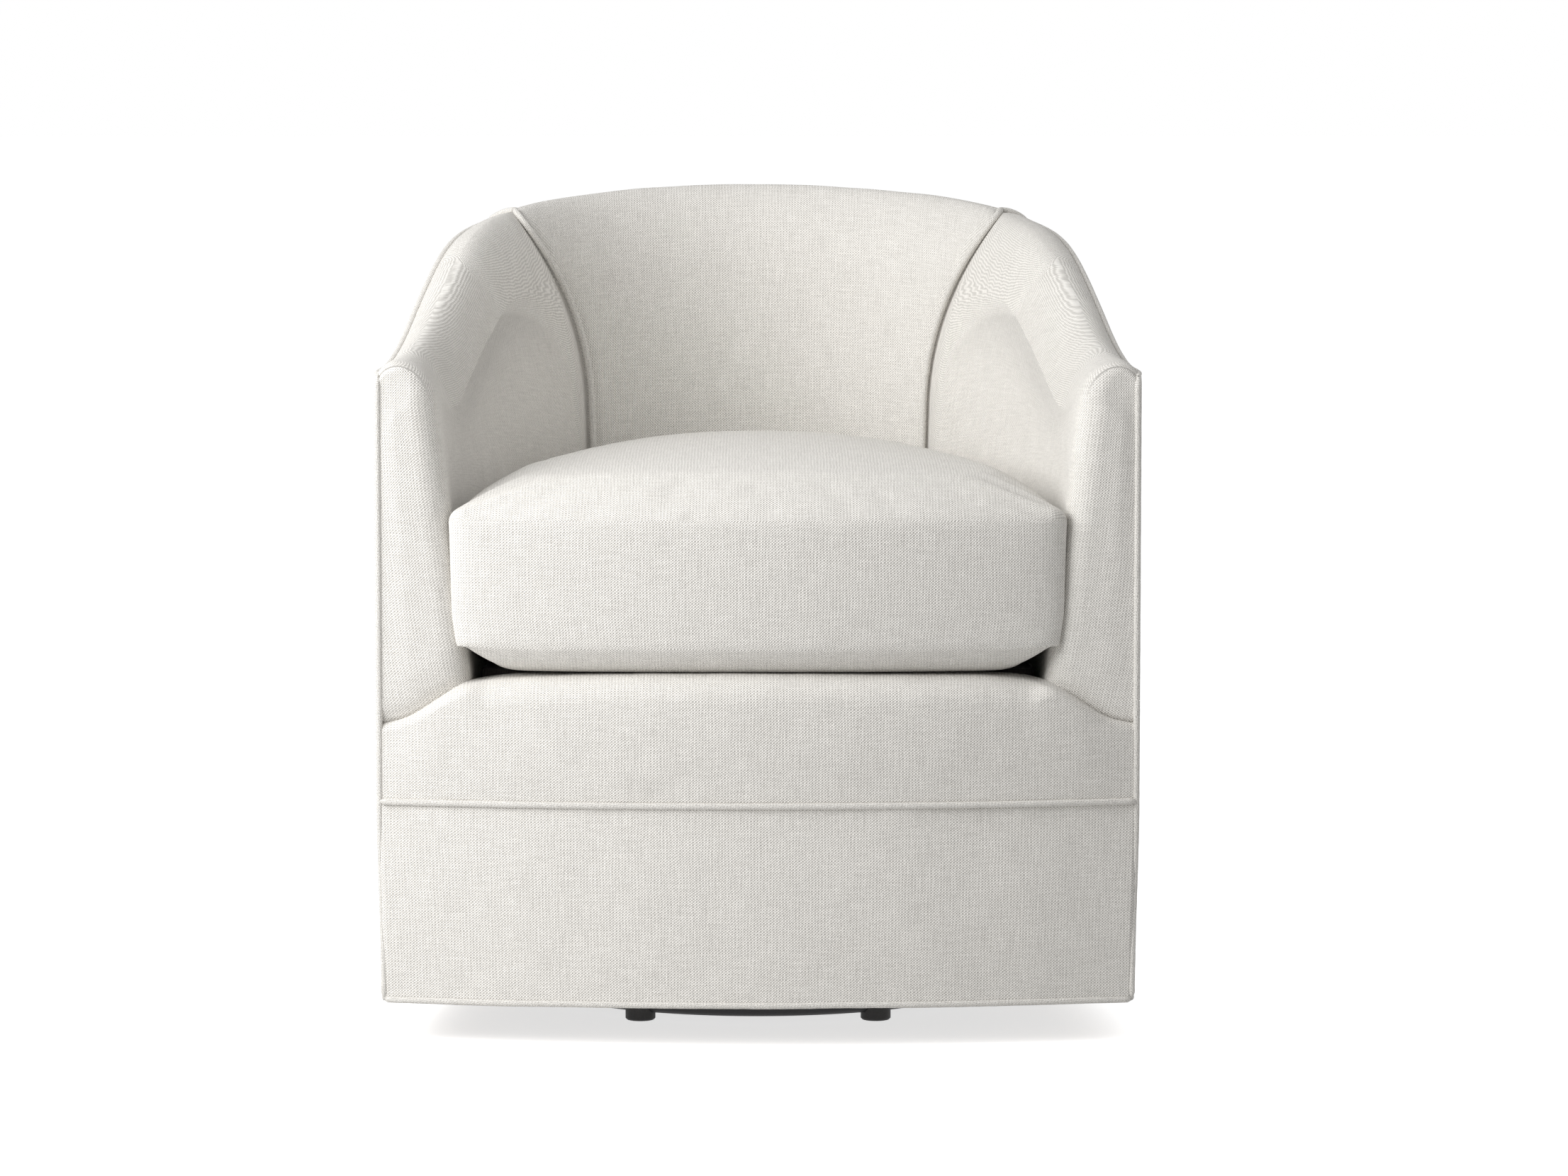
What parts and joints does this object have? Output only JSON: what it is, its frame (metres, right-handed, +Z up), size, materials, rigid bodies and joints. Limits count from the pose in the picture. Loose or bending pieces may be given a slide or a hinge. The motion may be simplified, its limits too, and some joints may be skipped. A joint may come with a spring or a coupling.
{
  "type": "swivel chair",
  "caption": "Upholstered barrel-back swivel armchair with arms that sweep up into a round back, a loose boxed seat cushion and a turning ring base hidden under the body.",
  "frame": {"origin": "on the floor under the swivel axis, at the middle of the chair's plan", "axes": "+Z up, the seat faces -Y, +X to the right of someone who looks at the front"},
  "size_m": [0.7408, 0.7688, 0.817],
  "materials": {
    "ivory_linen": "woven slub linen look, matt",
    "deck_cloth": "plain dark woven cloth, matt",
    "foam": "open-cell foam",
    "jute_felt": "needled felt",
    "webbing_tape": "woven tape",
    "hardwood": "planed, unfinished",
    "black_steel": "powder coated, satin",
    "zinc_steel": "zinc plated",
    "nylon": "moulded, matt"
  },
  "bodies": {
    "base": {"floor_ring": "black_steel", "spider_arms": "black_steel", "base_hub": "black_steel", "floor_glides": "nylon", "lower_plate": "black_steel", "lower_race": "zinc_steel", "king_pin": "zinc_steel", "king_washer": "zinc_steel", "king_nut": "zinc_steel"},
    "bearing": {"bearing_balls": "zinc_steel", "ball_cage": "nylon"},
    "chair": {"upper_race": "zinc_steel", "top_plate": "black_steel", "pivot_bush": "nylon", "plate_bolts": "zinc_steel", "plate_nuts": "zinc_steel", "front_cross_rail": "hardwood", "rear_cross_rail": "hardwood", "front_seat_rail": "hardwood", "side_seat_rail_left": "hardwood", "side_seat_rail_right": "hardwood", "back_seat_rail": "hardwood", "front_bottom_rail": "hardwood", "side_bottom_rail_left": "hardwood", "side_bottom_rail_right": "hardwood", "back_bottom_rail": "hardwood", "front_post_left": "hardwood", "front_post_right": "hardwood", "back_post_left": "hardwood", "back_post_right": "hardwood", "arm_top_rail_left": "hardwood", "arm_top_rail_right": "hardwood", "back_top_rail": "hardwood", "dust_sheet": "deck_cloth", "seat_springs": "zinc_steel", "spring_clips": "zinc_steel", "webbing": "webbing_tape", "inside_arm_left": "ivory_linen", "inside_arm_right": "ivory_linen", "inside_back": "ivory_linen", "arm_front_left": "ivory_linen", "arm_front_right": "ivory_linen", "front_rail_panel": "ivory_linen", "front_apron": "ivory_linen", "outside_arm_left": "ivory_linen", "outside_arm_right": "ivory_linen", "outside_back": "ivory_linen", "top_welt": "ivory_linen", "hem_welt": "ivory_linen", "band_welt": "ivory_linen", "side_welt_left": "ivory_linen", "side_welt_right": "ivory_linen", "back_corner_welts": "ivory_linen", "inside_back_welt_left": "ivory_linen", "inside_back_welt_right": "ivory_linen", "deck_insulator": "jute_felt", "deck_pad": "foam", "deck_cover": "deck_cloth"},
    "cushion": {"seat_cushion": "ivory_linen"}
  },
  "joints": [
    {"name": "swivel", "type": "hinge", "parent": "base", "child": "chair", "pos_m": [0, 0, 0.16], "axis": [0, 0, 1], "continuous": true},
    {"name": "cage_spin", "type": "hinge", "parent": "base", "child": "bearing", "pos_m": [0, 0, 0.16], "axis": [0, 0, 1], "continuous": true},
    {"name": "cushion_lift", "type": "slide", "parent": "chair", "child": "cushion", "axis": [0, 0, 1], "range_m": [0, 0.35]}
  ],
  "couplings": [
    {"joint": "cage_spin", "follows": "swivel", "ratio": 0.5}
  ]
}
